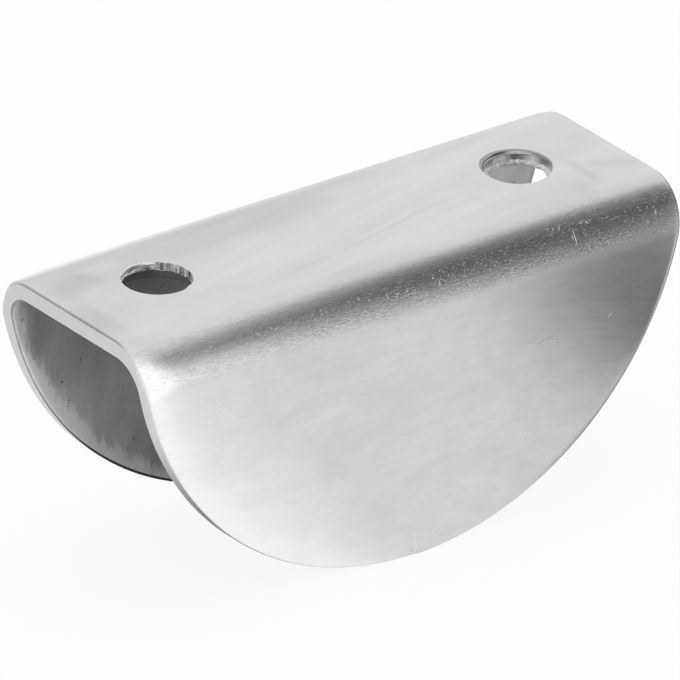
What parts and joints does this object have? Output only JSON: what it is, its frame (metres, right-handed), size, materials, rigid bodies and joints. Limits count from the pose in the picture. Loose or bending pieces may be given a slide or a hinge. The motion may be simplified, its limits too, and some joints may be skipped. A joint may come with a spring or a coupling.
{
  "type": "glass panel clamp",
  "caption": "Folded sheet-metal clamp: a flat screw-on web between half-moon flanges that form an open slot for the edge of a glass panel.",
  "frame": {"origin": "centre of the web's outer face, which lies against the support", "axes": "+X along the web's length, +Y from the front flange to the rear flange, +Z out of the web's outer face, so the flanges hang down"},
  "size_m": [0.0748, 0.0286, 0.0355],
  "materials": {
    "satin_stainless": "satin ground along its length, softly rounded outer edges"
  },
  "bodies": {
    "root": {"folded_clamp": "satin_stainless"}
  },
  "joints": []
}
